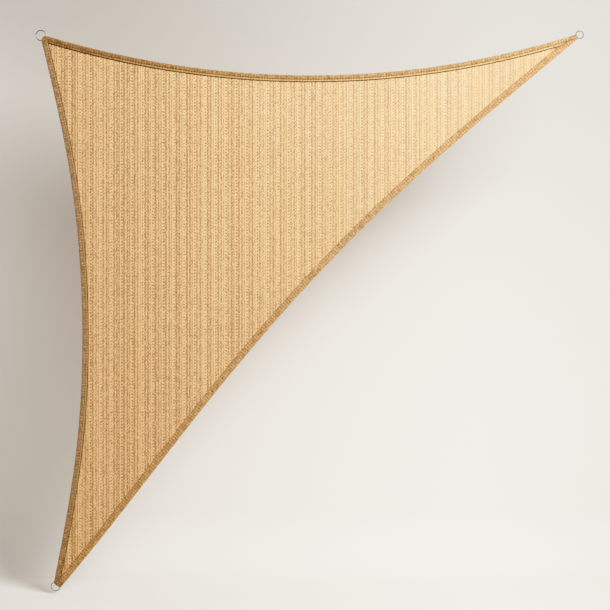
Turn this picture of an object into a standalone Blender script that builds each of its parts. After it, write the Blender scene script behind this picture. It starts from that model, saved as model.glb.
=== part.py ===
"""Shade sail: a triangle of knitted shade cloth, hung upright by a round steel ring at each corner.

Metres, +Z up. The sail hangs in the XZ plane, its front towards -Y and its top edge along +X.
The origin is the middle of the top left ring.

The cloth's three edges bow inwards. A tape is folded over each edge and mitred at the corners, and
at each rounded corner tip a loop of the tape turns round the ring's wire.
"""

from collections import namedtuple
from math import cos, pi, radians, sin, tau

import bmesh
import bpy
import numpy as np

# Driving dimensions. Places are (x, z) on the sail's middle plane.
# The edges run clockwise, as seen from the front, each from one corner tip to the next.
# bow is how far the edge's middle lies inside its chord. lean moves the bow's deepest point along
# the edge, and fullness below zero straightens the bow towards both of its ends. ripple draws in
# the edge's two quarter points. tape is the width of the edge's folded tape.
Edge = namedtuple("Edge", "start end bow lean fullness ripple tape segments")
EDGES = {
    "top": Edge((0.031, -0.0025), (2.968, 0.0055), 0.2228, 0.034, 0.03, 0.0, 0.0385, 32),
    "long": Edge((2.9805, -0.0175), (0.1115, -3.0612), 0.1521, -0.467, -1.74, 0.0, 0.0385, 44),
    "left": Edge((0.0725, -3.032), (0.004, -0.033), 0.1901, -0.020, -0.52, 0.0044, 0.0360, 32),
}
# Each corner lies between the edge that comes in and the edge that goes out. ring is the middle of
# its ring and outside that ring's outer diameter. bulge is how far the corner's rounded tip stands
# out from the line between those two edges' ends.
Corner = namedtuple("Corner", "incoming outgoing ring outside bulge")
CORNERS = {
    "top_left": Corner("left", "top", (0.0, 0.0), 0.0615, 0.0095),
    "top_right": Corner("top", "long", (2.990, 0.004), 0.0470, 0.0040),
    "bottom": Corner("long", "left", (0.082, -3.057), 0.0545, 0.0080),
}

# Sewn and touching pieces stand this far apart.
GAP = 0.0003

# The cloth's half thickness, with upright ribs raised on both faces: fine ones, and a broad swell
# over each three and a half of them.
CLOTH_HALF = 0.00095
RIB_PITCH = 0.0166
RIB_RELIEF = 0.00020
BROAD_RIB_PITCH = 3.5 * RIB_PITCH
BROAD_RIB_RELIEF = 0.00015

# The folded tape's section: how far its face stands from the middle plane at each share of the way
# from the edge to the tape's inner side. It is a rounded roll, a sewn groove and a flatter lip.
TapePoint = namedtuple("TapePoint", "share half")
TAPE_SECTION = (
    TapePoint(0.00, 0.0013),
    TapePoint(0.04, 0.0026),
    TapePoint(0.15, 0.0037),
    TapePoint(0.32, 0.0040),
    TapePoint(0.47, 0.0033),
    TapePoint(0.57, 0.0023),
    TapePoint(0.67, 0.0029),
    TapePoint(0.83, 0.0029),
    TapePoint(1.00, 0.0022),
)
FOLD_INSIDE = 0.0029
CLOTH_INSET = 0.0035

# The corner loops. Their tips thin towards the end by a share of the thickness.
LOOP_LENGTH = 0.024
LOOP_THICKNESS = 0.0012
LOOP_JOINT_HALF = 0.0038
LOOP_SECTION_POINTS = 14
LOOP_BOXINESS = 0.35
TIP_TURNS = (18, 36, 52, 66, 78, 86)
TIP_THINNING = 0.45

RING_WIRE = 0.0055
RING_SEGMENTS = 40
WIRE_SEGMENTS = 10

# Derived sizes.
CHANNEL_HALF = CLOTH_HALF + RIB_RELIEF + BROAD_RIB_RELIEF + GAP
LOOP_HALF = RING_WIRE / 2 + GAP + LOOP_THICKNESS

# How far helpers reach past the pieces that they shape.
REACH = 0.3
MARGIN = 0.02

CLOTH_COLOUR = (0.76, 0.51, 0.27)
TAPE_COLOUR = (0.45, 0.26, 0.11)
LOOP_COLOUR = (0.38, 0.21, 0.08)
STEEL_COLOUR = (0.62, 0.62, 0.62)


def clear_scene():
    for item in list(bpy.data.objects):
        bpy.data.objects.remove(item)


def material(name, colour, roughness, metallic=0.0):
    made = bpy.data.materials.new(name)
    made.use_nodes = True
    shader = made.node_tree.nodes["Principled BSDF"]
    shader.inputs["Base Color"].default_value = (*colour, 1.0)
    shader.inputs["Roughness"].default_value = roughness
    shader.inputs["Metallic"].default_value = metallic
    return made


def add_object(name, mesh):
    made = bpy.data.objects.new(name, mesh)
    bpy.context.scene.collection.objects.link(made)
    return made


def finish(piece, surface, smooth_below):
    piece.data.materials.append(surface)
    piece.data.shade_smooth()
    piece.data.set_sharp_from_angle(angle=smooth_below)


def as_helper(helper):
    helper.hide_render = True
    helper.display_type = "WIRE"
    return helper


def cut(piece, helper, operation):
    modifier = piece.modifiers.new(helper.name, "BOOLEAN")
    modifier.operation = operation
    modifier.solver = "EXACT"
    modifier.object = helper


def unit(vector):
    return vector / np.linalg.norm(vector)


def turned_right(directions):
    """Each direction turned a quarter turn clockwise, as seen from the front."""
    return np.stack([directions[..., 1], -directions[..., 0]], axis=-1)


def cross(first, second):
    return first[..., 0] * second[..., 1] - first[..., 1] * second[..., 0]


def bowed_points(edge, shares):
    start, end = np.array(edge.start), np.array(edge.end)
    inward = turned_right(unit(end - start))
    off_middle = shares - 0.5
    shape = 1 + edge.lean * off_middle + edge.fullness * off_middle**2
    bow = 4 * edge.bow * shares * (1 - shares) * shape + edge.ripple * np.sin(tau * shares) ** 2
    return start + np.outer(shares, end - start) + np.outer(bow, inward)


def edge_points(edge, shares, depth=0.0):
    """Points along an edge, moved inwards from it by depth."""
    step = 1e-4
    ahead = bowed_points(edge, shares + step) - bowed_points(edge, shares - step)
    ahead /= np.linalg.norm(ahead, axis=1)[:, None]
    return bowed_points(edge, shares) + depth * turned_right(ahead)


def share_at_line(edge, depth, point, direction, near_end):
    """The share of an edge at which the path at depth crosses a line near one of its ends."""
    shares = np.linspace(0.5, 1.0, 2001) if near_end else np.linspace(0.5, 0.0, 2001)
    side = cross(direction, edge_points(edge, shares, depth) - point)
    after = int(np.argmax(side * side[0] <= 0))
    before = after - 1
    part = side[before] / (side[before] - side[after])
    return shares[before] + part * (shares[after] - shares[before])


def path_crossing(first, second):
    """The point at which two paths of points cross."""
    first_runs, second_runs = np.diff(first, axis=0), np.diff(second, axis=0)
    between = second[None, :-1] - first[:-1, None]
    spread = cross(first_runs[:, None], second_runs[None])
    along_first = cross(between, second_runs[None]) / spread
    along_second = cross(between, first_runs[:, None]) / spread
    meets = (abs(along_first - 0.5) <= 0.5) & (abs(along_second - 0.5) <= 0.5)
    row, column = np.argwhere(meets)[0]
    return first[row] + along_first[row, column] * first_runs[row]


def line_crossing(first_point, first_direction, second_point, second_direction):
    spread = cross(first_direction, second_direction)
    along = cross(second_point - first_point, second_direction) / spread
    return first_point + along * first_direction


# The named places of a corner, left meaning the edge that comes in: the ends of its two edges and
# the middle between them, the joint of loop and tapes, and the directions across the corner, into
# the sail and along the tapes' mitre.
Layout = namedtuple(
    "Layout", "left_tip right_tip middle left_joint right_joint joint across inward mitre"
)


def corner_layout(corner):
    incoming, outgoing = EDGES[corner.incoming], EDGES[corner.outgoing]
    left_tip, right_tip = np.array(incoming.end), np.array(outgoing.start)
    across = unit(right_tip - left_tip)
    inward = turned_right(across)
    middle = (left_tip + right_tip) / 2
    on_joint = middle + LOOP_LENGTH * inward
    left_share = share_at_line(incoming, 0.0, on_joint, across, near_end=True)
    right_share = share_at_line(outgoing, 0.0, on_joint, across, near_end=False)
    left_joint = edge_points(incoming, np.array([left_share]))[0]
    right_joint = edge_points(outgoing, np.array([right_share]))[0]
    last_stretch = np.linspace(0.8, 1.0, 400)
    inner_corner = path_crossing(
        edge_points(incoming, last_stretch, incoming.tape),
        edge_points(outgoing, 1 - last_stretch, outgoing.tape),
    )
    joint = (left_joint + right_joint) / 2
    mitre = unit(inner_corner - joint)
    return Layout(
        left_tip, right_tip, middle, left_joint, right_joint, joint, across, inward, mitre
    )


def corner_at(edge_name, role):
    for corner in CORNERS.values():
        if getattr(corner, role) == edge_name:
            return corner_layout(corner)
    raise ValueError(edge_name)


def closed_mesh(name, shape):
    """The mesh of a bmesh shape, its faces pointing out. The shape is freed."""
    bmesh.ops.recalc_face_normals(shape, faces=shape.faces)
    mesh = bpy.data.meshes.new(name)
    shape.to_mesh(mesh)
    shape.free()
    return mesh


def prism(name, outline, half_depth):
    """A helper that fills an outline of (x, z) points from -half_depth to half_depth along Y."""
    shape = bmesh.new()
    front = [shape.verts.new((x, -half_depth, z)) for x, z in outline]
    back = [shape.verts.new((x, half_depth, z)) for x, z in outline]
    shape.faces.new(front)
    shape.faces.new(reversed(back))
    for index, here in enumerate(front):
        after = (index + 1) % len(front)
        shape.faces.new((front[after], here, back[index], back[after]))
    return as_helper(add_object(name, closed_mesh(name, shape)))


def lofted_mesh(name, sections):
    """A closed mesh through a row of sections, each a ring of equally many points."""
    shape = bmesh.new()
    rows = [[shape.verts.new(point) for point in section] for section in sections]
    for row, following in zip(rows[:-1], rows[1:]):
        for index, here in enumerate(row):
            after = (index + 1) % len(row)
            shape.faces.new((here, row[after], following[after], following[index]))
    shape.faces.new(rows[0])
    shape.faces.new(rows[-1])
    return closed_mesh(name, shape)


def cloth_half_thickness(x):
    fine = RIB_RELIEF * np.cos(tau * x / RIB_PITCH)
    broad = BROAD_RIB_RELIEF * np.cos(tau * x / BROAD_RIB_PITCH)
    return CLOTH_HALF + fine + broad


def ribbed_slab_mesh():
    """A tall slab with upright ribs on both faces, larger than the sail."""
    step = RIB_PITCH / 2
    right_end = max(EDGES["top"].end[0], EDGES["long"].start[0]) + MARGIN
    positions = np.arange(-MARGIN, right_end, step)
    top, bottom = MARGIN, EDGES["long"].end[1] - MARGIN
    sections = []
    for x, half in zip(positions, cloth_half_thickness(positions)):
        sections.append([(x, -half, bottom), (x, half, bottom), (x, half, top), (x, -half, top)])
    return lofted_mesh("sail_panel", sections)


def cloth_outline():
    """The cloth's outline inside the tapes' folds, cut short of the three corner loops."""
    outline = []
    for name, edge in EDGES.items():
        starts, ends = corner_at(name, "outgoing"), corner_at(name, "incoming")
        limits = []
        for layout, near_end in ((starts, False), (ends, True)):
            line = layout.joint + GAP * layout.inward
            limits.append(share_at_line(edge, CLOTH_INSET, line, layout.across, near_end))
        shares = np.linspace(*limits, edge.segments + 1)
        outline.extend(edge_points(edge, shares, CLOTH_INSET))
    return outline


def make_panel():
    panel = add_object("sail_panel", ribbed_slab_mesh())
    cut(panel, prism("cloth_outline", cloth_outline(), 5 * CLOTH_HALF), "INTERSECT")
    finish(panel, material("knitted_cloth", CLOTH_COLOUR, 0.9), radians(20))


def tape_section(width):
    """The folded tape's section as (depth from the edge, y), its open side over the cloth."""
    outside = [(point.share * width, point.half) for point in TAPE_SECTION]
    back = [(width, CHANNEL_HALF), *reversed(outside)]
    front = [(depth, -half) for depth, half in reversed(back)]
    return back + front + [(FOLD_INSIDE, -CHANNEL_HALF), (FOLD_INSIDE, CHANNEL_HALF)]


def tape_region(edge_name):
    """The outline between an edge's two mitres and its two corner loops, GAP clear of both."""
    starts, ends = corner_at(edge_name, "outgoing"), corner_at(edge_name, "incoming")
    start_joint = starts.joint + GAP * starts.inward
    end_joint = ends.joint + GAP * ends.inward
    start_mitre = starts.joint - GAP / 2 * turned_right(starts.mitre)
    end_mitre = ends.joint + GAP / 2 * turned_right(ends.mitre)
    return [
        line_crossing(start_joint, starts.across, start_mitre, starts.mitre),
        line_crossing(start_mitre, starts.mitre, end_mitre, ends.mitre),
        line_crossing(end_joint, ends.across, end_mitre, ends.mitre),
        end_joint - REACH * ends.across,
        start_joint + REACH * starts.across,
    ]


def make_binding(edge_name, surface):
    edge = EDGES[edge_name]
    shares = np.linspace(0.0, 1.0, edge.segments + 1)
    paths = [(edge_points(edge, shares, depth), y) for depth, y in tape_section(edge.tape)]
    sections = []
    for station in range(edge.segments + 1):
        sections.append([(path[station][0], y, path[station][1]) for path, y in paths])
    name = "binding_" + edge_name
    binding = add_object(name, lofted_mesh(name, sections))
    region = prism("region_" + edge_name, tape_region(edge_name), 2 * LOOP_HALF)
    cut(binding, region, "INTERSECT")
    finish(binding, surface, radians(30))


def loop_section(left, right, half_thickness):
    """A rounded box between two (x, z) points, as thick as half_thickness to each side."""
    middle, reach = (left + right) / 2, (right - left) / 2
    points = []
    for index in range(LOOP_SECTION_POINTS):
        angle = tau * (index + 0.5) / LOOP_SECTION_POINTS
        along = abs(cos(angle)) ** LOOP_BOXINESS * np.sign(cos(angle))
        out = abs(sin(angle)) ** LOOP_BOXINESS * np.sign(sin(angle))
        place = middle + along * reach
        points.append((place[0], out * half_thickness, place[1]))
    return points


def loop_stations(layout, bulge):
    """(left, right, half thickness) from the loop's joint to the end of its rounded tip."""
    stations = []
    for share in (0.0, 0.25, 0.5, 0.75, 1.0):
        left = layout.left_joint + share * (layout.left_tip - layout.left_joint)
        right = layout.right_joint + share * (layout.right_tip - layout.right_joint)
        rise = sin(pi / 2 * min(1.0, 2 * share)) ** 2
        half = LOOP_JOINT_HALF + rise * (LOOP_HALF - LOOP_JOINT_HALF)
        stations.append((left, right, half))
    for turn in TIP_TURNS:
        angle = radians(turn)
        centre = layout.middle - bulge * sin(angle) * layout.inward
        reach = (layout.right_tip - layout.left_tip) / 2 * cos(angle)
        half = LOOP_HALF * (1 - TIP_THINNING * sin(angle) ** 6)
        stations.append((centre - reach, centre + reach, half))
    return stations


def torus(name, corner, wire_radius):
    bpy.ops.mesh.primitive_torus_add(
        location=(corner.ring[0], 0.0, corner.ring[1]),
        rotation=(pi / 2, 0.0, 0.0),
        major_segments=RING_SEGMENTS,
        minor_segments=WIRE_SEGMENTS,
        major_radius=(corner.outside - RING_WIRE) / 2,
        minor_radius=wire_radius,
    )
    made = bpy.context.object
    made.name = name
    made.data.name = name
    return made


def make_corner(name, corner, loop_surface, steel):
    layout = corner_layout(corner)
    stations = loop_stations(layout, corner.bulge)
    loop_name = "corner_loop_" + name
    sections = [loop_section(*station) for station in stations]
    loop = add_object(loop_name, lofted_mesh(loop_name, sections))
    channel = as_helper(torus("ring_channel_" + name, corner, RING_WIRE / 2 + GAP))
    cut(loop, channel, "DIFFERENCE")
    finish(loop, loop_surface, radians(40))
    ring = torus("ring_" + name, corner, RING_WIRE / 2)
    finish(ring, steel, radians(60))


def main():
    clear_scene()
    make_panel()
    tape = material("binding_tape", TAPE_COLOUR, 0.85)
    for edge_name in EDGES:
        make_binding(edge_name, tape)
    loop_surface = material("corner_tape", LOOP_COLOUR, 0.85)
    steel = material("ring_steel", STEEL_COLOUR, 0.25, metallic=1.0)
    for name, corner in CORNERS.items():
        make_corner(name, corner, loop_surface, steel)


main()
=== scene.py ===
"""Shade sail, dressed: knitted cloth, ribbed edge tapes with their sewing, corner loops and rings.

Metres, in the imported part's frame: the sail hangs in the XZ plane, its front towards -Y and its top
edge along +X. The origin is the middle of the top left ring.
"""

from collections import namedtuple
from math import cos, exp, pi, radians, sin, tau

import bmesh
import bpy
import numpy as np
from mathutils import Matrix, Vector


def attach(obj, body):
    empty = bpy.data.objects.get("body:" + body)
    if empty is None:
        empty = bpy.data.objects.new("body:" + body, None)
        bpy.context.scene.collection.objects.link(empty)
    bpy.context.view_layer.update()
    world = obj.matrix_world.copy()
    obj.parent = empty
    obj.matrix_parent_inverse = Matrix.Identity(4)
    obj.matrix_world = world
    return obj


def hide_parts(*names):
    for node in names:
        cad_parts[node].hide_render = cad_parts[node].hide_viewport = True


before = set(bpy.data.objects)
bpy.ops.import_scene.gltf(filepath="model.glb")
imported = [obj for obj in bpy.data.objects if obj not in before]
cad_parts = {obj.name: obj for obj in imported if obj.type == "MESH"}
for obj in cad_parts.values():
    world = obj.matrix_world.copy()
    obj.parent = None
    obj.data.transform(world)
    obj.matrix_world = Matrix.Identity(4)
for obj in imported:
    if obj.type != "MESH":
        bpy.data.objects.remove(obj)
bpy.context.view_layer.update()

# The sail's own sizes. Places are (x, z) on its middle plane. The edges run clockwise, as seen from
# the front, each from one corner tip to the next. bow is how far the edge's middle lies inside its
# chord. lean and fullness shape the bow along the edge, and ripple draws in its two quarter points.
# tape is the width of the edge's folded tape.
Edge = namedtuple("Edge", "start end bow lean fullness ripple tape")
EDGES = {
    "top": Edge((0.031, -0.0025), (2.968, 0.0055), 0.2228, 0.034, 0.03, 0.0, 0.0385),
    "long": Edge((2.9805, -0.0175), (0.1115, -3.0612), 0.1521, -0.467, -1.74, 0.0, 0.0385),
    "left": Edge((0.0725, -3.032), (0.004, -0.033), 0.1901, -0.020, -0.52, 0.0044, 0.0360),
}
# ring is the middle of a corner's ring and outside that ring's outer diameter. bulge is how far the
# corner's rounded tip stands out from the line between its two edges' ends. weld is the angle of
# the ring's welded joint, from +X towards +Z, in degrees.
Corner = namedtuple("Corner", "incoming outgoing ring outside bulge weld")
CORNERS = {
    "top_left": Corner("left", "top", (0.0, 0.0), 0.0615, 0.0095, 118),
    "top_right": Corner("top", "long", (2.990, 0.004), 0.0470, 0.0040, 12),
    "bottom": Corner("long", "left", (0.082, -3.057), 0.0545, 0.0080, 235),
}
# The clearance between pieces that are sewn together or pass through each other.
GAP = 0.0003

# The knit repeats across the cloth in units of four strands. Places are shares of the unit's width.
# Heights and shades go from 0 to 1.
KnitHeight = namedtuple("KnitHeight", "share height")
KNIT_HEIGHTS = (
    KnitHeight(0.000, 1.00),
    KnitHeight(0.095, 0.66),
    KnitHeight(0.215, 0.85),
    KnitHeight(0.300, 0.54),
    KnitHeight(0.378, 0.20),
    KnitHeight(0.452, 0.55),
    KnitHeight(0.525, 0.78),
    KnitHeight(0.598, 0.55),
    KnitHeight(0.668, 0.20),
    KnitHeight(0.740, 0.52),
    KnitHeight(0.810, 0.78),
    KnitHeight(0.875, 0.50),
    KnitHeight(0.932, 0.30),
    KnitHeight(0.966, 0.72),
)
# The shades darken each furrow and lighten each crown: partly the yarns' own tone, partly painted shade
# and highlight over the relief.
KnitShade = namedtuple("KnitShade", "share shade")
KNIT_SHADES = (
    KnitShade(0.000, 1.00),
    KnitShade(0.050, 1.00),
    KnitShade(0.095, 0.45),
    KnitShade(0.160, 0.30),
    KnitShade(0.230, 0.58),
    KnitShade(0.300, 0.26),
    KnitShade(0.378, 0.14),
    KnitShade(0.452, 0.30),
    KnitShade(0.525, 0.68),
    KnitShade(0.598, 0.28),
    KnitShade(0.668, 0.14),
    KnitShade(0.740, 0.34),
    KnitShade(0.810, 0.66),
    KnitShade(0.875, 0.32),
    KnitShade(0.932, 0.25),
    KnitShade(0.966, 0.80),
    KnitShade(1.000, 1.00),
)
# The furrows at which one strand ends and the next begins.
STRAND_ENDS = (0.095, 0.378, 0.668, 0.932)
STRANDS_PER_UNIT = len(STRAND_ENDS)
# The first unit starts at UNIT_START along X. KNIT_RELIEF is the height of a crown. Strands differ in
# height by up to STRAND_VARIATION of it.
UNIT_WIDTH = 0.0579
UNIT_START = -0.0237
KNIT_RELIEF = 0.0014
STRAND_VARIATION = 0.22

# Each strand is a column of beads, out of step with its neighbours by up to BEAD_DRIFT of a bead. It
# is lower between two beads by BEAD_WAIST. The knit's material adds dots in columns of their own.
BEAD_PITCH = 0.0172
BEAD_WAIST = 0.45
BEAD_DRIFT = 0.35
ROWS_PER_BEAD = 2
DOT_COLUMNS_PER_UNIT = 11
DOTS_PER_BEAD = 3

# The cloth is cut out of a grid of whole units and beads that fit in this size. Its rim lies
# CLOTH_INSET inside the tapes' outer edge. Where it crosses a line between two of the grid's points,
# it stays CUT_MARGIN of that line away from both.
GRID_WIDTH = 3.05
GRID_HEIGHT = 3.12
CLOTH_INSET = 0.010
CUT_MARGIN = 0.05

# The folded tape's section: how far its face stands from the middle plane at each share of the
# tape's width, and the share of the cross ribs' relief there. It is a rounded roll, a sewn groove, a
# lip and a sewn furrow along the lip's inner side.
TapePoint = namedtuple("TapePoint", "share height ribbed")
TAPE_SECTION = (
    TapePoint(0.000, 0.00090, 0.0),
    TapePoint(0.012, 0.00180, 0.6),
    TapePoint(0.050, 0.00280, 1.0),
    TapePoint(0.110, 0.00350, 1.0),
    TapePoint(0.200, 0.00395, 1.0),
    TapePoint(0.310, 0.00405, 1.0),
    TapePoint(0.410, 0.00365, 1.0),
    TapePoint(0.490, 0.00300, 1.0),
    TapePoint(0.540, 0.00240, 0.5),
    TapePoint(0.575, 0.00210, 0.0),
    TapePoint(0.615, 0.00235, 0.2),
    TapePoint(0.665, 0.00290, 0.7),
    TapePoint(0.740, 0.00310, 0.8),
    TapePoint(0.820, 0.00295, 0.7),
    TapePoint(0.885, 0.00250, 0.3),
    TapePoint(0.930, 0.00215, 0.0),
    TapePoint(0.965, 0.00230, 0.2),
    TapePoint(1.000, 0.00195, 0.0),
)
# The slot between the tape's two halves: half its width, and how far inside the tape's outer edge it
# starts. Every other cross rib is lower by LOW_RIB of its relief.
CHANNEL_HALF = 0.0016
FOLD_INSIDE = 0.0029
TAPE_RIB_PITCH = 0.0075
TAPE_RIB_RELIEF = 0.00035
LOW_RIB = 0.4
STATIONS_PER_TAPE_RIB = 4
THREADS_ACROSS_TAPE = 12
STRIPS_ACROSS_TAPE = 2.5
SHARP_ANGLE = radians(50)

# Sewing. Each row lies at a share of the tape's width, in one of the tape's two furrows.
StitchRow = namedtuple("StitchRow", "share height")
STITCH_ROWS = (StitchRow(0.575, 0.0024), StitchRow(0.930, 0.0024))
STITCH_PITCH = 0.0085
STITCH_LENGTH = 0.0066
THREAD_RADIUS = 0.00070
THREAD_SIDES = 5
# A stitch has a girth at each reach from its middle, both as shares. Its ends lie lower than its
# middle by STITCH_SINK of the thread's radius.
StitchRing = namedtuple("StitchRing", "reach girth")
STITCH_PROFILE = (
    StitchRing(-1.0, 0.25),
    StitchRing(-0.55, 0.95),
    StitchRing(0.55, 0.95),
    StitchRing(1.0, 0.25),
)
STITCH_SINK = 0.45
MITRE_CLEARANCE = 0.0002

# The corner loops. LOOP_JOINT_HALF and LOOP_HALF are half their thickness at the joint with the tapes
# and in the body. LOOP_BOXINESS squares their section off. The tip is made up to LOOP_LAST_TURN
# degrees of its quarter turn and is thinner at its end by TIP_THINNING. Across a loop its material
# shows the tape's weave around the first of LOOP_WEAVE's two shares, as far as the second each way.
LOOP_LENGTH = 0.024
LOOP_JOINT_HALF = 0.0038
LOOP_HALF = 0.00425
LOOP_SECTION_POINTS = 56
LOOP_BOXINESS = 0.42
LOOP_BODY_STATIONS = 17
LOOP_TIP_STATIONS = 14
LOOP_LAST_TURN = 86
TIP_THINNING = 0.45
LOOP_WEAVE = (0.28, 0.2)
# Sewing across a loop: each row's distance from the joint, then the pitch, the length that stays
# free at the row's ends, and how far the thread stands off the loop.
LOOP_STITCH_ROWS = (0.0045, 0.0095)
LOOP_STITCH_PITCH = 1.15 * STITCH_LENGTH
LOOP_STITCH_MARGIN = 0.004
LOOP_STITCH_CLEARANCE = 0.0001

# The rings. The wire is thicker at the weld by WELD_SWELL, which fades over WELD_ANGLE degrees.
RING_WIRE = 0.0055
RING_SEGMENTS = 128
WIRE_SEGMENTS = 24
WELD_SWELL = 0.10
WELD_ANGLE = 4.0

# The camera looks straight at the sail. The photograph's frame is FRAME_WIDTH wide at the sail, and
# its middle is at FRAME_MIDDLE, (x, z).
FRAME_WIDTH = 3.3855
FRAME_MIDDLE = (1.4658, -1.4957)
CAMERA_DISTANCE = 9.0
SENSOR = 36.0

# The tone curve touches the straight line at CURVE_START and ends at CURVE_END, with points at
# CURVE_LEVELS. It is the one for all three colours together, which has the number COMBINED_CURVE.
CURVE_START = 0.25
CURVE_END = 4.0
CURVE_LEVELS = (0.06, 0.15, CURVE_START, 0.4, 0.6, 0.85, 1.2, 1.6, 2.2, 3.0)
COMBINED_CURVE = 3

# The stage: a floor, and a wall that starts just over it and rises in a cove.
FLOOR_Z = -3.100
WALL_Y = 0.85
WALL_LIFT = 0.001
COVE_RADIUS = 0.35
COVE_POINTS = 17
STAGE_REACH = 14.0

# Each lamp's size is its width and height, and its power is in watts.
Lamp = namedtuple("Lamp", "place target size power colour")
LAMPS = {
    "key": Lamp((4.1, -3.4, 1.4), (2.6, 0.0, 0.0), (2.4, 2.4), 620.0, (1.0, 0.95, 0.87)),
    "wall_wash": Lamp((-1.5, 0.12, -0.6), (0.7, 0.85, -0.8), (0.6, 2.0), 33.0, (1.0, 0.93, 0.86)),
}
ROOM_COLOUR = (1.0, 0.90, 0.79)
ROOM_STRENGTH = 0.22

rng = np.random.default_rng(4)


# ---------------------------------------------------------------- outline


# Slopes are taken over this share of an edge each way. The next two are how many points a path gets,
# to find a crossing in half an edge and to measure a whole one. The two tapes of a corner meet in the
# last stretch of their edges.
SLOPE_STEP = 1e-4
CROSSING_POINTS = 2001
LENGTH_POINTS = 4001
LAST_STRETCH = np.linspace(0.8, 1.0, 400)


def unit(vector):
    return vector / np.linalg.norm(vector)


def turned_right(directions):
    """Each direction turned a quarter turn clockwise, as seen from the front."""
    return np.stack([directions[..., 1], -directions[..., 0]], axis=-1)


def cross(first, second):
    return first[..., 0] * second[..., 1] - first[..., 1] * second[..., 0]


def bow_at(edge, shares):
    """How far an edge lies inside its chord."""
    off_middle = shares - 0.5
    shape = 1 + edge.lean * off_middle + edge.fullness * off_middle**2
    return 4 * edge.bow * shares * (1 - shares) * shape + edge.ripple * np.sin(tau * shares) ** 2


def bowed_points(edge, shares):
    start, end = np.array(edge.start), np.array(edge.end)
    inward = turned_right(unit(end - start))
    return start + np.outer(shares, end - start) + np.outer(bow_at(edge, shares), inward)


def edge_directions(edge, shares):
    ahead = bowed_points(edge, shares + SLOPE_STEP) - bowed_points(edge, shares - SLOPE_STEP)
    return ahead / np.linalg.norm(ahead, axis=1)[:, None]


def edge_points(edge, shares, depth=0.0):
    """Points along an edge, moved inwards from it by depth."""
    return bowed_points(edge, shares) + depth * turned_right(edge_directions(edge, shares))


def edge_depth(edge, points):
    """How far points lie inside an edge, less than zero outside it."""
    start, end = np.array(edge.start), np.array(edge.end)
    length = np.linalg.norm(end - start)
    along = (end - start) / length
    shares = (points - start) @ along / length
    rise = bow_at(edge, shares + SLOPE_STEP) - bow_at(edge, shares - SLOPE_STEP)
    slope = rise / (2 * SLOPE_STEP * length)
    off_chord = (points - start) @ turned_right(along)
    return (off_chord - bow_at(edge, shares)) / np.sqrt(1 + slope**2)


def share_at_line(edge, depth, point, direction, near_end):
    """The share of an edge at which the path at depth crosses a line near one of its ends."""
    shares = np.linspace(0.5, 1.0 if near_end else 0.0, CROSSING_POINTS)
    side = cross(direction, edge_points(edge, shares, depth) - point)
    after = int(np.argmax(side * side[0] <= 0))
    before = after - 1
    part = side[before] / (side[before] - side[after])
    return shares[before] + part * (shares[after] - shares[before])


def path_crossing(first, second):
    """The point at which two paths of points cross."""
    first_runs, second_runs = np.diff(first, axis=0), np.diff(second, axis=0)
    between = second[None, :-1] - first[:-1, None]
    spread = cross(first_runs[:, None], second_runs[None])
    along_first = cross(between, second_runs[None]) / spread
    along_second = cross(between, first_runs[:, None]) / spread
    meets = (abs(along_first - 0.5) <= 0.5) & (abs(along_second - 0.5) <= 0.5)
    row, column = np.argwhere(meets)[0]
    return first[row] + along_first[row, column] * first_runs[row]


# A corner's named places, left meaning the edge that comes in: the ends of its two edges and the
# middle between them, the joint of loop and tapes, the inner end of the tapes' mitre, and the
# directions across the corner, into the sail and along the mitre.
Layout = namedtuple(
    "Layout", "left_tip right_tip middle left_joint right_joint joint inner across inward mitre"
)


def corner_layout(corner):
    incoming, outgoing = EDGES[corner.incoming], EDGES[corner.outgoing]
    left_tip, right_tip = np.array(incoming.end), np.array(outgoing.start)
    across = unit(right_tip - left_tip)
    inward = turned_right(across)
    middle = (left_tip + right_tip) / 2
    on_joint = middle + LOOP_LENGTH * inward
    left_share = share_at_line(incoming, 0.0, on_joint, across, near_end=True)
    right_share = share_at_line(outgoing, 0.0, on_joint, across, near_end=False)
    left_joint = edge_points(incoming, np.array([left_share]))[0]
    right_joint = edge_points(outgoing, np.array([right_share]))[0]
    inner = path_crossing(
        edge_points(incoming, LAST_STRETCH, incoming.tape),
        edge_points(outgoing, 1 - LAST_STRETCH, outgoing.tape),
    )
    joint = (left_joint + right_joint) / 2
    mitre = unit(inner - joint)
    return Layout(
        left_tip, right_tip, middle, left_joint, right_joint, joint, inner, across, inward, mitre
    )


LAYOUTS = {name: corner_layout(corner) for name, corner in CORNERS.items()}


def corner_at(edge_name, role):
    """The layout of the corner at which an edge is the incoming or the outgoing one."""
    for name, corner in CORNERS.items():
        if getattr(corner, role) == edge_name:
            return LAYOUTS[name]
    raise ValueError(edge_name)


# ---------------------------------------------------------------- node helpers


# The sockets of a Mix node that blends colours.
MIX_SHARE, MIX_FIRST, MIX_SECOND, MIX_RESULT = 0, 6, 7, 2


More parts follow.
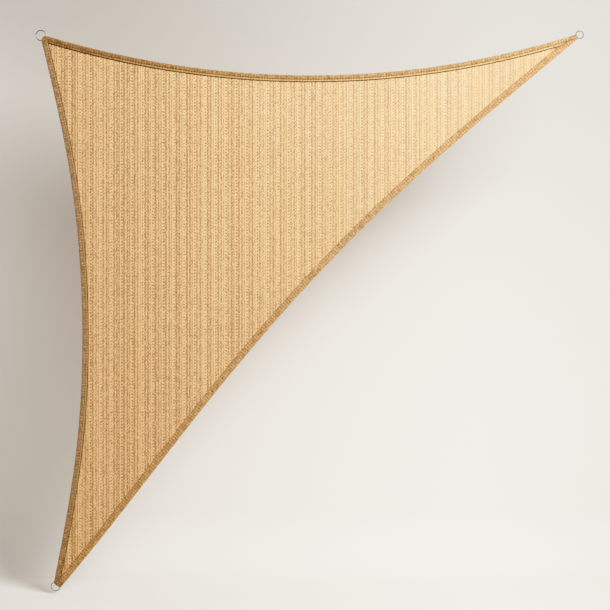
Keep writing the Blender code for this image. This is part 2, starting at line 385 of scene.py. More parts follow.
class Nodes:
    """A short way to write a material's node tree. Most methods return an output socket."""

    def __init__(self, name):
        self.material = bpy.data.materials.new(name)
        self.material.use_nodes = True
        self.tree = self.material.node_tree
        self.shader = self.tree.nodes["Principled BSDF"]

    def add(self, kind, **settings):
        node = self.tree.nodes.new(kind)
        for key, value in settings.items():
            setattr(node, key, value)
        return node

    def feed(self, socket, value):
        if isinstance(value, bpy.types.NodeSocket):
            self.tree.links.new(value, socket)
        else:
            socket.default_value = value

    def math(self, operation, *values):
        node = self.add("ShaderNodeMath", operation=operation)
        for socket, value in zip(node.inputs, values):
            self.feed(socket, value)
        return node.outputs[0]

    def times(self, first, second):
        return self.math("MULTIPLY", first, second)

    def rounded(self, value):
        return self.math("ROUND", value)

    def total(self, start, *terms):
        """start with every (value, weight) term added to it: the value times its weight."""
        for value, weight in terms:
            start = self.math("MULTIPLY_ADD", value, weight, start)
        return start

    def wave(self, value, low=0.0, high=1.0):
        """A cosine of value, in turns, between low and high. It is high at whole turns."""
        turned = self.math("COSINE", self.times(value, tau))
        return self.total((high + low) / 2, (turned, (high - low) / 2))

    def ramp(self, value, stops, interpolation):
        """The value looked up among (place, level) stops, all from 0 to 1."""
        node = self.add("ShaderNodeValToRGB")
        node.color_ramp.interpolation = interpolation
        elements = node.color_ramp.elements
        while len(elements) < len(stops):
            elements.new(0.5)
        for element, (place, level) in zip(elements, stops):
            element.position = place
            element.color = (level, level, level, 1.0)
        self.feed(node.inputs[0], value)
        return node.outputs[0]

    def eased(self, value, low, high):
        """0 to 1, smoothly, as value goes from low to high."""
        node = self.add("ShaderNodeMapRange", interpolation_type="SMOOTHSTEP")
        self.feed(node.inputs["Value"], value)
        self.feed(node.inputs["From Min"], low)
        self.feed(node.inputs["From Max"], high)
        return node.outputs[0]

    def noise(self, scale, detail=2.0, roughness=0.5):
        node = self.add("ShaderNodeTexNoise")
        self.feed(node.inputs["Vector"], self.place())
        self.feed(node.inputs["Scale"], scale)
        self.feed(node.inputs["Detail"], detail)
        self.feed(node.inputs["Roughness"], roughness)
        return node.outputs[0]

    def random(self, *place, seed):
        """A number from 0 to 1 for each place of one or two whole numbers."""
        joined = self.add("ShaderNodeCombineXYZ")
        for socket, value in zip(joined.inputs, place):
            self.feed(socket, value)
        self.feed(joined.inputs["Z"], seed)
        node = self.add("ShaderNodeTexWhiteNoise", noise_dimensions="3D")
        self.feed(node.inputs["Vector"], joined.outputs[0])
        return node.outputs["Value"]

    def blend(self, share, first, second):
        node = self.add("ShaderNodeMix", data_type="RGBA")
        self.feed(node.inputs[MIX_SHARE], share)
        self.feed(node.inputs[MIX_FIRST], first)
        self.feed(node.inputs[MIX_SECOND], second)
        return node.outputs[MIX_RESULT]

    def tint(self, colour, value):
        """The colour with its brightness multiplied by value."""
        node = self.add("ShaderNodeHueSaturation")
        self.feed(node.inputs["Color"], colour)
        self.feed(node.inputs["Value"], value)
        return node.outputs[0]

    def parts(self, vector):
        node = self.add("ShaderNodeSeparateXYZ")
        self.feed(node.inputs[0], vector)
        return node.outputs[0], node.outputs[1], node.outputs[2]

    def map(self, name):
        """A mesh map's two numbers."""
        return self.parts(self.add("ShaderNodeUVMap", uv_map=name).outputs[0])[:2]

    def place(self):
        """A point's place in metres."""
        return self.add("ShaderNodeTexCoord").outputs["Object"]

    def bump(self, height, distance, strength=1.0):
        node = self.add("ShaderNodeBump")
        self.feed(node.inputs["Strength"], strength)
        self.feed(node.inputs["Distance"], distance)
        self.feed(node.inputs["Height"], height)
        self.feed(self.shader.inputs["Normal"], node.outputs[0])

    def set(self, **values):
        for key, value in values.items():
            self.feed(self.shader.inputs[key.replace("_", " ")], value)


def rgb(red, green, blue):
    return (red, green, blue, 1.0)


# ---------------------------------------------------------------- materials


def knit_material():
    """Beaded strands with painted shade and highlight, weaker to the right. The weave map counts knit
    units across and beads up.
    """
    made = Nodes("sail_knit")
    across, upward = made.map("weave")
    unit_number = made.math("FLOOR", across)
    within = made.math("SUBTRACT", across, unit_number)
    shade = made.ramp(within, KNIT_SHADES, "EASE")
    height = made.ramp(within, KNIT_HEIGHTS + (KnitHeight(1.0, 1.0),), "EASE")

    # Whole numbers for strands, beads and dots. Neighbouring columns of dots are half a dot out of step.
    levels = STRANDS_PER_UNIT + 1
    steps = [(0.0, 0.0)] + [(end, (place + 1) / levels) for place, end in enumerate(STRAND_ENDS)]
    strand = made.times(made.ramp(within, steps, "CONSTANT"), levels)
    strand = made.rounded(made.total(strand, (unit_number, STRANDS_PER_UNIT)))
    bead = made.rounded(upward)
    column = made.rounded(made.times(across, DOT_COLUMNS_PER_UNIT))
    dot = made.rounded(made.total(made.times(upward, DOTS_PER_BEAD), (column, 0.5)))

    body = made.wave(upward)
    half_body = made.wave(made.times(upward, 2.0))
    strand_random = made.random(strand, seed=0.0)
    bead_random = made.random(strand, bead, seed=7.0)
    column_random = made.random(column, seed=5.0)
    dot_random = made.random(column, dot, seed=3.0)
    grain = made.noise(scale=220.0, roughness=0.7)
    worn = made.noise(scale=1.6, detail=3.0)
    fibre = made.noise(scale=900.0)

    # Beads swing between dark and bright on a strand's crown, and less and the other way in a furrow:
    # painted highlight and shade on the beads, with random tone mixed in.
    bright_bead = made.total(-0.725, (body, 1.00), (bead_random, 0.45))
    swing = made.total(-0.4, (made.eased(height, 0.40, 0.85), 1.5))
    level = made.total(
        -2.13,
        (shade, 1.22),
        (bright_bead, swing),
        (strand_random, 0.18),
        (column_random, 0.36),
        (dot_random, 0.76),
        (grain, 2.00),
    )

    # Broad changes, across the sail in knit units and upwards in beads, which are below zero. The
    # knit's contrast is painted stronger to the left, as shade and highlight where the light rakes.
    light_less_raking = made.eased(across, 5.0, 45.0)
    contrast = made.total(1.42, (light_less_raking, -0.74))
    level = made.total(0.51, (level, contrast))
    # Painted shade: the light yarn is deeper at the far right, against the key light's highlight there.
    far_right = made.eased(across, 37.0, 46.0)
    light = made.blend(far_right, rgb(0.88, 0.465, 0.218), rgb(0.84, 0.382, 0.169))
    colour = made.blend(level, rgb(0.28, 0.148, 0.066), light)
    # Painted shade: the cloth is darker towards the bottom, where the light falls off. worn adds the
    # cloth's own blotchy tone.
    off_bottom = made.eased(upward, -175.0, -115.0)
    colour = made.tint(colour, made.total(0.85, (off_bottom, 0.07), (worn, 0.16)))
    made.set(Base_Color=colour, Roughness=0.55, Specular_IOR_Level=0.35)
    made.set(Sheen_Weight=0.06, Sheen_Roughness=0.5)
    made.bump(made.total(height, (half_body, 0.25), (fibre, 0.15)), distance=0.0013)
    return made.material


def tape_weave(made, rib_place, share):
    """The tape's fine weave: how light each place is, and how high it stands for the bump."""
    thread_place = made.times(share, THREADS_ACROSS_TAPE)
    rib, thread = made.rounded(rib_place), made.rounded(thread_place)
    pair = made.rounded(made.times(rib_place, 0.5))
    strip = made.rounded(made.times(share, STRIPS_ACROSS_TAPE))
    ribs = made.wave(rib_place)
    warp = made.wave(made.times(thread_place, 2.0))
    fibre = made.noise(scale=700.0, detail=3.0)
    shade = made.total(
        -1.35,
        (ribs, 0.36),
        (warp, 0.14),
        (fibre, 0.20),
        (made.noise(scale=150.0, roughness=0.7), 2.2),
        (made.random(pair, strip, seed=5.0), 0.28),
        (made.random(rib, thread, seed=3.0), 0.50),
    )
    return shade, made.total(ribs, (warp, 0.5), (fibre, 0.3))


def tape_material(
    name, dark, light, start=None, lip=None, groove=0.0, seam=0.0, marks=0.0, painted_start_shade=0.0, mitres=()
):
    """Ribbed tape. The weave map has metres along the tape and its share of the tape's width.

    The weave goes from dark to light. start is its light colour at the tape's first end, deeper
    there as painted shade against the key light, and lip the raised lip's colour, paler partly in
    its own right and partly as painted highlight. groove and seam are how much darker the tape's two
    sewn furrows are, painted shade with some of the sewing's own dark, marks how much every other rib
    differs, dusk how much darker its first end is, as painted shade, and mitres how much darker it is
    along the mitres at its first and last ends.
    """
    made = Nodes(name)
    along, share = made.map("weave")
    rib_place = made.math("DIVIDE", along, TAPE_RIB_PITCH)
    shade, height = tape_weave(made, rib_place, share)
    # Painted shade: the light colour is deeper near the first end, against the key light there.
    if start:
        light = made.blend(made.eased(along, 0.2, 1.6), start, light)
    colour = made.blend(shade, dark, light)
    level = made.total(0.90, (made.noise(scale=9.0, detail=3.0), 0.20))
    # The paler lip is partly the lip's own colour and partly painted highlight.
    if lip:
        stops = [(0.0, 0.0), (0.65, 0.0), (0.71, 1.0), (0.81, 1.0), (0.86, 0.0)]
        on_lip = made.times(made.ramp(share, stops, "EASE"), made.eased(along, 0.15, 0.7))
        rib_random = made.random(made.rounded(rib_place), 1.0, seed=9.0)
        speckled = made.times(on_lip, made.total(0.40, (rib_random, 0.45)))
        colour = made.blend(speckled, colour, lip)
    # Painted shade in the two sewn furrows, with some of the sewing's own dark.
    if groove or seam:
        stops = [(0.0, 1.0), (0.49, 1.0), (0.56, 1 - groove), (0.60, 1 - groove), (0.65, 1.0)]
        stops += [(0.84, 1.0), (0.90, 1 - seam), (1.0, 1 - seam)]
        level = made.times(level, made.ramp(share, stops, "EASE"))
    if marks:
        every_other = made.wave(made.times(rib_place, 0.5), -marks / 2, marks / 2)
        off_edge = made.total(0.6, (made.eased(share, 0.0, 0.45), 0.4))
        level = made.times(level, made.total(1.0, (off_edge, every_other)))
    # Painted shade at the tape's first end, stronger away from its outer edge.
    if painted_start_shade:
        near_start = made.math("SUBTRACT", 1.0, made.eased(along, 0.0, 2.0))
        off_edge = made.total(0.4, (made.eased(share, 0.0, 0.35), 0.6))
        unlit = made.times(near_start, off_edge)
        level = made.times(level, made.total(1.0, (unlit, -painted_start_shade)))
    for distance, darker in zip(made.map("mitre"), mitres):
        clear = made.eased(distance, 0.001, 0.007)
        level = made.times(level, made.total(1 - darker, (clear, darker)))
    made.set(Base_Color=made.tint(colour, level), Roughness=0.75)
    made.set(Sheen_Weight=0.05, Sheen_Roughness=0.5, Specular_IOR_Level=0.3)
    made.bump(height, distance=0.0004, strength=0.7)
    return made.material


def thread_material():
    """Twisted sewing thread."""
    made = Nodes("sewing_thread")
    twist = made.noise(scale=1400.0)
    colour = made.blend(twist, rgb(0.11, 0.058, 0.024), rgb(0.24, 0.135, 0.06))
    made.set(Base_Color=colour, Roughness=0.6, Specular_IOR_Level=0.35)
    made.bump(twist, distance=0.0003, strength=0.5)
    return made.material


def steel_material(name, dark, light):
    """Steel wire with fine drawn scratches, its grey cloudy between dark and light."""
    made = Nodes(name)
    cloudy = made.noise(scale=160.0, detail=3.0)
    scratches = made.noise(scale=2600.0)
    colour = made.blend(cloudy, rgb(dark, dark, dark), rgb(light, light, light))
    rough = made.total(0.26, (cloudy, 0.16))
    made.set(Base_Color=colour, Metallic=1.0, Roughness=rough)
    made.bump(scratches, distance=0.00006, strength=0.35)
    return made.material


def clear_behind(made):
    """Makes a surface clear where it is seen from behind."""
    mixed = made.add("ShaderNodeMixShader")
    made.feed(mixed.inputs[0], made.add("ShaderNodeNewGeometry").outputs["Backfacing"])
    made.feed(mixed.inputs[1], made.shader.outputs[0])
    made.feed(mixed.inputs[2], made.add("ShaderNodeBsdfTransparent").outputs[0])
    made.feed(made.tree.nodes["Material Output"].inputs["Surface"], mixed.outputs[0])


def stage_material(name, low_left, see_through_behind=False):
    """Pale backdrop with painted shade, darker towards its top, its left and its far right. low_left is
    its colour at the bottom left.
    """
    made = Nodes(name)
    across, _, upward = made.parts(made.place())
    # The colour's fall to the top, the left and the far right is painted shade, standing in for the
    # light's falloff and the sail's soft shadow.
    high = made.eased(upward, FLOOR_Z, 0.6)
    right = made.eased(across, -0.6, 1.9)
    right_colour = made.blend(high, rgb(0.87, 0.86, 0.83), rgb(0.42, 0.412, 0.395))
    left_colour = made.blend(high, low_left, rgb(0.375, 0.360, 0.346))
    colour = made.blend(right, left_colour, right_colour)
    far_right = made.eased(across, 2.3, 3.5)
    made.set(Base_Color=made.tint(colour, made.total(1.0, (far_right, -0.12))))
    made.set(Roughness=0.9, Specular_IOR_Level=0.2)
    if see_through_behind:
        clear_behind(made)
    return made.material


# ---------------------------------------------------------------- meshes


def add_object(name, data):
    made = bpy.data.objects.new(name, data)
    bpy.context.scene.collection.objects.link(made)
    return made


def add_piece(name, points, faces, surface, **maps):
    """A mesh of its own. Each map has two numbers for each point, for the surface's nodes."""
    mesh = bpy.data.meshes.new(name)
    mesh.from_pydata(points, [], faces)
    corners = np.empty(len(mesh.loops), np.int32)
    mesh.loops.foreach_get("vertex_index", corners)
    for map_name, values in maps.items():
        layer = mesh.uv_layers.new(name=map_name)
        layer.data.foreach_set("uv", np.asarray(values, np.float32)[corners].ravel())
    mesh.materials.append(surface)
    mesh.shade_smooth()
    return add_object(name, mesh)


def seat(piece, slot, *nodes):
    """The piece rides on the sail's one body and stands for nodes. slot is not used."""
    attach(piece, "root")
    if nodes:
        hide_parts(*nodes)
    return piece


def clipped_grid(values, field):
    """The values and faces of a grid where field is above zero, its rim cut at field's zero line.

    values has one row of numbers for each point of the grid. The points on the rim lie between two
    of the grid's points, and so do their values.
    """
    inside = field > 0
    numbers = np.where(inside, np.cumsum(inside).reshape(inside.shape) - 1, -1)
    kept = list(values[inside])
    whole = inside[:-1, :-1] & inside[1:, :-1] & inside[1:, 1:] & inside[:-1, 1:]
    some = inside[:-1, :-1] | inside[1:, :-1] | inside[1:, 1:] | inside[:-1, 1:]
    quads = [numbers[:-1, :-1], numbers[1:, :-1], numbers[1:, 1:], numbers[:-1, 1:]]
    faces = np.stack([quad[whole] for quad in quads], axis=1).tolist()
    cuts = {}
    for column, row in np.argwhere(some & ~whole):
        ring = [(column, row), (column + 1, row), (column + 1, row + 1), (column, row + 1)]
        face = []
        for here, after in zip(ring, ring[1:] + ring[:1]):
            if inside[here]:
                face.append(int(numbers[here]))
            if inside[here] != inside[after]:
                key = frozenset((here, after))
                if key not in cuts:
                    share = field[here] / (field[here] - field[after])
                    share = np.clip(share, CUT_MARGIN, 1 - CUT_MARGIN)
                    cuts[key] = len(kept)
                    kept.append(values[here] + share * (values[after] - values[here]))
                face.append(cuts[key])
        faces.append(face)
    return np.array(kept), faces


def cloth_depth(points):
    """How far points lie inside the cloth's rim, less than zero outside it."""
    depths = [edge_depth(edge, points) - CLOTH_INSET for edge in EDGES.values()]
    for layout in LAYOUTS.values():
        depths.append((points - layout.joint) @ layout.inward - GAP)
    return np.min(depths, axis=0)


def make_cloth(surface):
    """The knitted panel: one thin sheet in strands of beads, its rim inside the folded tapes."""
    units = int(GRID_WIDTH / UNIT_WIDTH)
    beads = int(GRID_HEIGHT / BEAD_PITCH)
    across = np.array([number + point.share for number in range(units) for point in KNIT_HEIGHTS])
    heights = np.tile([point.height for point in KNIT_HEIGHTS], units)
    in_unit = np.searchsorted(STRAND_ENDS, across % 1, side="left")
    strands = (np.floor(across) * STRANDS_PER_UNIT + in_unit).astype(int)
    at_end = np.isin(np.round(across % 1, 4), STRAND_ENDS)
    strand_count = STRANDS_PER_UNIT * (units + 1) + 1
    strengths = 1 + STRAND_VARIATION * (rng.random(strand_count) - 0.5)
    phases = BEAD_DRIFT * rng.random(strand_count)
    strength, phase = strengths[strands], phases[strands]
    phase[at_end] = (phases[strands] + phases[strands + 1])[at_end] / 2
    rows = np.arange(-beads * ROWS_PER_BEAD, ROWS_PER_BEAD) / ROWS_PER_BEAD
    grid_across, upward = np.meshgrid(across, rows, indexing="ij")
    beaded = 1 - BEAD_WAIST * (0.5 - 0.5 * np.cos(tau * upward))
    relief = KNIT_RELIEF * (heights * strength)[:, None] * beaded
    x = UNIT_START + grid_across * UNIT_WIDTH
    z = (upward - phase[:, None]) * BEAD_PITCH
    values = np.stack([x, KNIT_RELIEF / 2 - relief, z, grid_across, upward], axis=-1)
    kept, faces = clipped_grid(values, cloth_depth(np.stack([x, z], axis=-1)))
    cloth = add_piece("sail_cloth", kept[:, :3], faces, surface, weave=kept[:, 3:])
    return seat(cloth, "sail_cloth", "sail_panel")


def in_space(points, out):
    """(x, z) points and a Y for each, as points in space."""
    return np.stack([points[:, 0], out, points[:, 1]], axis=1)


def even_stations(edge, depth, spacing):
    """Shares of an edge, spacing apart along the path at depth, and their lengths along it."""
    shares = np.linspace(0.0, 1.0, LENGTH_POINTS)
    steps = np.linalg.norm(np.diff(edge_points(edge, shares, depth), axis=0), axis=1)
    lengths = np.concatenate([[0.0], np.cumsum(steps)])
    count = round(lengths[-1] / spacing)
    wanted = np.linspace(0.0, lengths[-1], count + 1)
    return np.interp(wanted, lengths, shares), wanted


def cut_off(shape, point, outward):
    """Removes what lies beyond a line through point, and closes the cut."""
    cut = bmesh.ops.bisect_plane(
        shape,
        geom=shape.verts[:] + shape.edges[:] + shape.faces[:],
        dist=1e-7,
        plane_co=(point[0], 0.0, point[1]),
        plane_no=(outward[0], 0.0, outward[1]),
        clear_outer=True,
    )
    rim = [item for item in cut["geom_cut"] if isinstance(item, bmesh.types.BMEdge)]
    bmesh.ops.holes_fill(shape, edges=rim)


def finish_mesh(mesh, limits=()):
    """Cuts a closed mesh off at lines, (point, outward direction), and turns its faces outwards."""
    shape = bmesh.new()
    shape.from_mesh(mesh)
    for point, outward in limits:
        cut_off(shape, point, outward)
    bmesh.ops.recalc_face_normals(shape, faces=shape.faces)
    shape.to_mesh(mesh)
    shape.free()


def tape_limits(edge_name):
    """The lines that end an edge's tape, as (point, outward direction)."""
    starts, ends = corner_at(edge_name, "outgoing"), corner_at(edge_name, "incoming")
    start_side = -turned_right(starts.mitre)
    end_side = turned_right(ends.mitre)
    return [
        (starts.joint + GAP * starts.inward, -starts.inward),
        (ends.joint + GAP * ends.inward, -ends.inward),
        (starts.joint + GAP / 2 * start_side, -start_side),
        (ends.joint + GAP / 2 * end_side, -end_side),
    ]


def mitre_distances(edge_name, places):
    """How far places lie from the mitre lines at a tape's first and last ends."""
    distances = []
    for layout in (corner_at(edge_name, "outgoing"), corner_at(edge_name, "incoming")):
        distances.append(abs(cross(layout.mitre, places - layout.joint)))
    return np.stack(distances, axis=1)


def rib_heights(lengths):
    """The cross ribs' relief along a tape, from 0 to 1, with every other rib lower."""
    ribs = 0.5 + 0.5 * np.cos(tau * lengths / TAPE_RIB_PITCH)
    return ribs * (1 - LOW_RIB * (0.5 - 0.5 * np.cos(pi * lengths / TAPE_RIB_PITCH)))


def make_tape(edge_name, surface):
    """An edge's folded tape: its section carried along the edge, and cut off at its two corners."""
    edge = EDGES[edge_name]
    spacing = TAPE_RIB_PITCH / STATIONS_PER_TAPE_RIB
    shares, lengths = even_stations(edge, edge.tape / 2, spacing)
    ribs = rib_heights(lengths)
    section = [(point.share, 1, point.height, point.ribbed) for point in reversed(TAPE_SECTION)]
    section += [(point.share, -1, point.height, point.ribbed) for point in TAPE_SECTION]
    inside = FOLD_INSIDE / edge.tape
    slot = ((1.0, -1), (inside, -1), (inside, 1), (1.0, 1))
    section += [(share, side, CHANNEL_HALF, 0.0) for share, side in slot]
    lines, weaves = [], []
    for share, side, height, ribbed in section:
        out = side * (height + TAPE_RIB_RELIEF * ribbed * (ribs - 0.5))
        lines.append(in_space(edge_points(edge, shares, share * edge.tape), out))
        weaves.append(np.stack([lengths, np.full_like(lengths, share)], axis=1))
    stations, sides = len(shares), len(lines)
    numbers = np.arange(stations * sides).reshape(sides, stations)
    after = np.roll(numbers, -1, axis=0)
    quads = np.stack([numbers[:, :-1], numbers[:, 1:], after[:, 1:], after[:, :-1]], axis=-1)
    faces = quads.reshape(-1, 4).tolist()
    faces += [numbers[:, 0].tolist(), numbers[::-1, -1].tolist()]
    points, weave = np.concatenate(lines), np.concatenate(weaves)
    mitre = mitre_distances(edge_name, points[:, [0, 2]])
    tape = add_piece("tape_" + edge_name, points, faces, surface, weave=weave, mitre=mitre)
    finish_mesh(tape.data, tape_limits(edge_name))
    tape.data.set_sharp_from_angle(angle=SHARP_ANGLE)
    return seat(tape, "binding_tape", "binding_" + edge_name)


def thread_runs(centres, alongs, sides):
    """Points and faces of short rounded threads. alongs are directions in the XZ plane."""
    turns = np.arange(THREAD_SIDES) * tau / THREAD_SIDES
    rings = []
    outs = np.zeros_like(centres)
    outs[:, 1] = sides
    widths = np.cross(alongs, outs)
    for reach, girth in STITCH_PROFILE:
        sunk = -STITCH_SINK * THREAD_RADIUS * reach**4
        middle = centres + alongs * reach * STITCH_LENGTH / 2 + outs * sunk
        for turn in turns:
            spoke = outs * sin(turn) + widths * cos(turn)
            rings.append(middle + spoke * girth * THREAD_RADIUS)
    points = np.stack(rings, axis=1)
    size = len(rings)
    faces = []
    for ring in range(len(STITCH_PROFILE) - 1):
        for side in range(THREAD_SIDES):
            here = ring * THREAD_SIDES + side
            beside = ring * THREAD_SIDES + (side + 1) % THREAD_SIDES
            faces.append((here, here + THREAD_SIDES, beside + THREAD_SIDES, beside))
    caps = [tuple(range(THREAD_SIDES)), tuple(range(size - 1, size - THREAD_SIDES - 1, -1))]
    all_faces = []
    for number in range(len(points)):
        start = number * size
        all_faces += [tuple(start + corner for corner in face) for face in faces + caps]
    return points.reshape(-1, 3), all_faces


def sew(name, rows, surface, slot):
    """Rows of stitches on both faces. Each row has its stitches' places, directions and heights."""
    centres, alongs, sides = [], [], []
    for places, directions, heights in rows:
        for side in (-1, 1):
            centres.append(in_space(places, side * heights))
            alongs.append(in_space(directions, np.zeros(len(places))))
            sides.append(np.full(len(places), side))
    points, faces = thread_runs(
        np.concatenate(centres), np.concatenate(alongs), np.concatenate(sides)
    )
    return seat(add_piece(name, points, faces, surface), slot)


def make_edge_stitches(edge_name, surface):
    """A row of sewing along each of a tape's two furrows."""
    edge = EDGES[edge_name]
    rows = []
    for row in STITCH_ROWS:
        depth = row.share * edge.tape
        shares, _ = even_stations(edge, depth, STITCH_PITCH)
        places = edge_points(edge, shares, depth)
        kept = np.ones(len(places), bool)
        for point, outward in tape_limits(edge_name):
            kept &= (places - point) @ outward < -STITCH_LENGTH / 2
        directions = edge_directions(edge, shares)[kept]
        rows.append((places[kept], directions, np.full(kept.sum(), row.height)))
    return sew("stitches_" + edge_name, rows, surface, "binding_tape")


def loop_station(layout, share):
    """The left and right ends of a loop's cross line, a share of the way from joint to tip."""
    left = layout.left_joint + share * (layout.left_tip - layout.left_joint)
    right = layout.right_joint + share * (layout.right_tip - layout.right_joint)
    return left, right


def loop_stations(layout, bulge):
    """(left, right, half thickness) from the loop's joint to the end of its rounded tip."""
    stations = []
    for share in np.linspace(0.0, 1.0, LOOP_BODY_STATIONS):
        rise = sin(pi / 2 * min(1.0, 2 * share)) ** 2
        half = LOOP_JOINT_HALF + rise * (LOOP_HALF - LOOP_JOINT_HALF)
        stations.append((*loop_station(layout, share), half))
    for turn in np.linspace(0.0, LOOP_LAST_TURN, LOOP_TIP_STATIONS + 1)[1:]:
        angle = radians(turn)
        centre = layout.middle - bulge * sin(angle) * layout.inward
        reach = (layout.right_tip - layout.left_tip) / 2 * cos(angle)
        half = LOOP_HALF * (1 - TIP_THINNING * sin(angle) ** 6)
        stations.append((centre - reach, centre + reach, half))
    return stations


def tube_faces(numbers, closed=False):
    """Quads between rings of point numbers, each ring a row. closed joins the last to the first."""
    beside = np.roll(numbers, -1, axis=1)
    ahead, both = np.roll(numbers, -1, axis=0), np.roll(beside, -1, axis=0)
    quads = np.stack([numbers, beside, both, ahead], axis=-1)
    return quads[: None if closed else -1].reshape(-1, 4).tolist()


def torus_mesh(name, corner, wire_radius, weld=None):
    """A corner's ring in the XZ plane. A weld, an angle in degrees, swells its wire there."""
    around = np.arange(RING_SEGMENTS) * tau / RING_SEGMENTS
    turns = np.arange(WIRE_SEGMENTS) * tau / WIRE_SEGMENTS
    girth = np.full(RING_SEGMENTS, wire_radius)
    if weld is not None:
        off_weld = (np.degrees(around) - weld + 180) % 360 - 180
        girth *= 1 + WELD_SWELL * np.exp(-((off_weld / WELD_ANGLE) ** 2))
    reach = (corner.outside - RING_WIRE) / 2 + np.outer(girth, np.cos(turns))
    x = corner.ring[0] + reach * np.cos(around)[:, None]
    z = corner.ring[1] + reach * np.sin(around)[:, None]
    points = np.stack([x, np.outer(girth, np.sin(turns)), z], axis=-1).reshape(-1, 3)
    numbers = np.arange(len(points)).reshape(RING_SEGMENTS, WIRE_SEGMENTS)
    mesh = bpy.data.meshes.new(name)
    mesh.from_pydata(points, [], tube_faces(numbers, closed=True))
    return mesh


def boxy(wave):
    """A sine or cosine with its rounds squared off."""
    return abs(wave) ** LOOP_BOXINESS * np.sign(wave)


def cut_channel(piece, name):
    """Cuts a channel for a corner's ring through a piece, GAP clear of the wire all round."""
    tool_name = "channel_" + name
    tool = add_object(tool_name, torus_mesh(tool_name, CORNERS[name], RING_WIRE / 2 + GAP))
    modifier = piece.modifiers.new("channel", "BOOLEAN")
    modifier.operation = "DIFFERENCE"
    modifier.solver = "EXACT"
    modifier.object = tool
    depsgraph = bpy.context.evaluated_depsgraph_get()
    cut_mesh = bpy.data.meshes.new_from_object(piece.evaluated_get(depsgraph))
    piece.modifiers.clear()
    piece.data = cut_mesh
    bpy.data.objects.remove(tool)


def make_corner_loop(name, surface):
    """The tape turned round the ring's wire, with a channel that the wire runs through."""
    layout = LAYOUTS[name]
    points, weave = [], []
    angles = tau * (np.arange(LOOP_SECTION_POINTS) + 0.5) / LOOP_SECTION_POINTS
    across, out = boxy(np.cos(angles)), boxy(np.sin(angles))
    weave_middle, weave_reach = LOOP_WEAVE
    for left, right, half in loop_stations(layout, CORNERS[name].bulge):
        middle, reach = (left + right) / 2, (right - left) / 2
        flat = middle + np.outer(across, reach)
        points.append(in_space(flat, half * out))
        down = (middle - layout.joint) @ -layout.inward
        shares = weave_middle + weave_reach * across
        weave.append(np.stack([np.full_like(shares, down), shares], axis=1))
    numbers = np.arange(len(points) * LOOP_SECTION_POINTS).reshape(-1, LOOP_SECTION_POINTS)
    faces = tube_faces(numbers) + [numbers[0, ::-1].tolist(), numbers[-1].tolist()]
    points, weave = np.concatenate(points), np.concatenate(weave)
    piece = add_piece("corner_wrap_" + name, points, faces, surface, weave=weave)
    finish_mesh(piece.data)
    cut_channel(piece, name)
    piece.data.shade_smooth()
    piece.data.set_sharp_from_angle(angle=SHARP_ANGLE)
    return seat(piece, "corner_tape", "corner_loop_" + name)


def make_loop_stitches(name, surface):
    """Rows of sewing across the loop, on both faces."""
    layout = LAYOUTS[name]
    rows = []
    for height in LOOP_STITCH_ROWS:
        left, right = loop_station(layout, height / LOOP_LENGTH)
        length = np.linalg.norm(right - left)
        count = max(2, int((length - LOOP_STITCH_MARGIN) / LOOP_STITCH_PITCH))
        offsets = (np.arange(count) - (count - 1) / 2) * LOOP_STITCH_PITCH
        places = (left + right) / 2 + np.outer(offsets, layout.across)
        directions = np.tile(layout.across, (count, 1))
        rows.append((places, directions, np.full(count, LOOP_HALF + LOOP_STITCH_CLEARANCE)))
    return sew("loop_stitches_" + name, rows, surface, "corner_tape")


def make_mitre_stitches(name, surface):
    """A row of sewing along the line at which a corner's two tapes meet, on both faces."""
    layout = LAYOUTS[name]
    edge = EDGES[CORNERS[name].outgoing]
    length = np.linalg.norm(layout.inner - layout.joint) - STITCH_LENGTH
    count = int(length / STITCH_PITCH) + 1
    reaches = (np.arange(count) + 0.5) * length / count + STITCH_LENGTH / 2
    places = layout.joint + np.outer(reaches, layout.mitre)
    shares = edge_depth(edge, places) / edge.tape
    section_shares, section_heights, _ = zip(*TAPE_SECTION)
    heights = np.interp(shares, section_shares, section_heights) + MITRE_CLEARANCE
    directions = np.tile(layout.mitre, (count, 1))
    rows = [(places, directions, heights)]
    return sew("mitre_stitches_" + name, rows, surface, "binding_tape")


def make_ring(name, surface):
    """A corner's closed ring of round wire."""
    corner = CORNERS[name]
    mesh = torus_mesh("ring_wire_" + name, corner, RING_WIRE / 2, corner.weld)
    mesh.materials.append(surface)
    mesh.shade_smooth()
    return seat(add_object("ring_wire_" + name, mesh), "ring_steel", "ring_" + name)


# ---------------------------------------------------------------- stage, light and camera


def make_floor():
    low, high = -STAGE_REACH, STAGE_REACH
    points = [(low, low, FLOOR_Z), (high, low, FLOOR_Z), (high, high, FLOOR_Z), (low, high, FLOOR_Z)]
    surface = stage_material("pale_floor", low_left=rgb(0.87, 0.86, 0.84))
    return add_piece("floor", points, [(0, 1, 2, 3)], surface)


def make_wall():
    """A wall behind the sail, which rises from the floor in a cove and is clear from behind."""
    profile = []
    for turn in np.linspace(0, pi / 2, COVE_POINTS):
        y = WALL_Y - COVE_RADIUS + COVE_RADIUS * sin(turn)
        z = FLOOR_Z + WALL_LIFT + COVE_RADIUS * (1 - cos(turn))
        profile.append((y, z))
    profile.append((WALL_Y, STAGE_REACH))
    points = [(x, y, z) for y, z in profile for x in (-STAGE_REACH, STAGE_REACH)]
    faces = [(2 * row, 2 * row + 1, 2 * row + 3, 2 * row + 2) for row in range(len(profile) - 1)]
    surface = stage_material("pale_wall", low_left=rgb(0.81, 0.80, 0.78), see_through_behind=True)
    return add_piece("wall", points, faces, surface)


def make_stage():
    floor = make_floor()
    wall = make_wall()


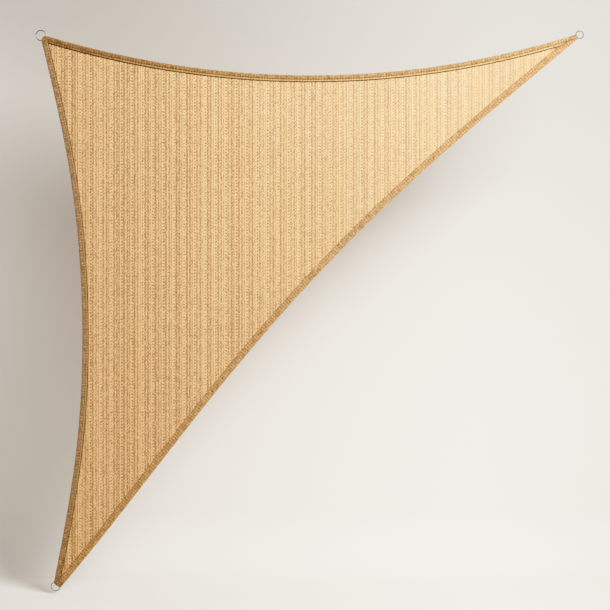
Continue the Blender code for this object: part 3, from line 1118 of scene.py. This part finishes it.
def make_light():
    """The two lamps of LAMPS, and an even light from all round."""
    for name, setting in LAMPS.items():
        lamp = bpy.data.lights.new(name, "AREA")
        lamp.shape = "RECTANGLE"
        lamp.size, lamp.size_y = setting.size
        lamp.energy = setting.power
        lamp.color = setting.colour
        light = add_object(name, lamp)
        light.location = setting.place
        aim = Vector(setting.target) - Vector(setting.place)
        light.rotation_euler = aim.to_track_quat("-Z", "Y").to_euler()
    world = bpy.data.worlds.new("soft_room")
    bpy.context.scene.world = world
    world.use_nodes = True
    background = world.node_tree.nodes["Background"]
    background.inputs["Color"].default_value = rgb(*ROOM_COLOUR)
    background.inputs["Strength"].default_value = ROOM_STRENGTH


def soften_highlights():
    """A tone curve in place of a hard limit: brightness over CURVE_START levels off softly."""
    view = bpy.context.scene.view_settings
    view.view_transform = "Standard"
    view.use_curve_mapping = True
    view.curve_mapping.white_level = (CURVE_END, CURVE_END, CURVE_END)
    rest = 1 - CURVE_START
    curve = view.curve_mapping.curves[COMBINED_CURVE]
    for level in CURVE_LEVELS:
        shown = 1 - rest * exp(-(level - CURVE_START) / rest)
        curve.points.new(level / CURVE_END, shown)
    view.curve_mapping.update()


def make_camera():
    lens = bpy.data.cameras.new("camera")
    lens.sensor_width = SENSOR
    lens.lens = SENSOR * CAMERA_DISTANCE / FRAME_WIDTH
    camera = add_object("camera", lens)
    camera.location = (FRAME_MIDDLE[0], -CAMERA_DISTANCE, FRAME_MIDDLE[1])
    camera.rotation_euler = (pi / 2, 0.0, 0.0)
    bpy.context.scene.camera = camera


# All three edges have one tape. Their colours differ as painted light and shade: the long tape is
# lightest, the left one darkest.
tapes = {
    "top": tape_material(
        "top_tape",
        dark=rgb(0.124, 0.062, 0.022),
        light=rgb(0.490, 0.252, 0.105),
        lip=rgb(0.60, 0.335, 0.155),
        groove=0.62,
        seam=0.90,
        marks=0.42,
        painted_start_shade=0.32,
        mitres=(0.10, 0.45),
    ),
    "long": tape_material(
        "long_tape",
        dark=rgb(0.163, 0.078, 0.031),
        light=rgb(0.600, 0.318, 0.145),
        start=rgb(0.600, 0.289, 0.119),
        seam=0.10,
        marks=0.45,
        painted_start_shade=0.15,
        mitres=(0.45, 0.30),
    ),
    "left": tape_material(
        "left_tape",
        dark=rgb(0.104, 0.055, 0.0255),
        light=rgb(0.410, 0.228, 0.118),
        lip=rgb(0.43, 0.245, 0.125),
        seam=0.60,
        marks=0.38,
    ),
}
loop_tape = tape_material(
    "corner_tape", dark=rgb(0.095, 0.050, 0.020), light=rgb(0.37, 0.205, 0.094)
)
thread = thread_material()
# One steel in three copies, each darkened by its own amount as painted shade: the top right ring most,
# against the key light's reflection in it, the bottom ring least.
steels = {
    "top_left": steel_material("steel_painted_shade_top_left", 0.18, 0.27),
    "top_right": steel_material("steel_painted_shade_top_right", 0.06, 0.11),
    "bottom": steel_material("steel_painted_shade_bottom", 0.22, 0.33),
}

cloth = make_cloth(knit_material())
for edge_name in EDGES:
    make_tape(edge_name, tapes[edge_name])
    make_edge_stitches(edge_name, thread)
for corner_name in CORNERS:
    make_corner_loop(corner_name, loop_tape)
    make_loop_stitches(corner_name, thread)
    make_mitre_stitches(corner_name, thread)
    make_ring(corner_name, steels[corner_name])

make_stage()
make_light()
soften_highlights()
make_camera()
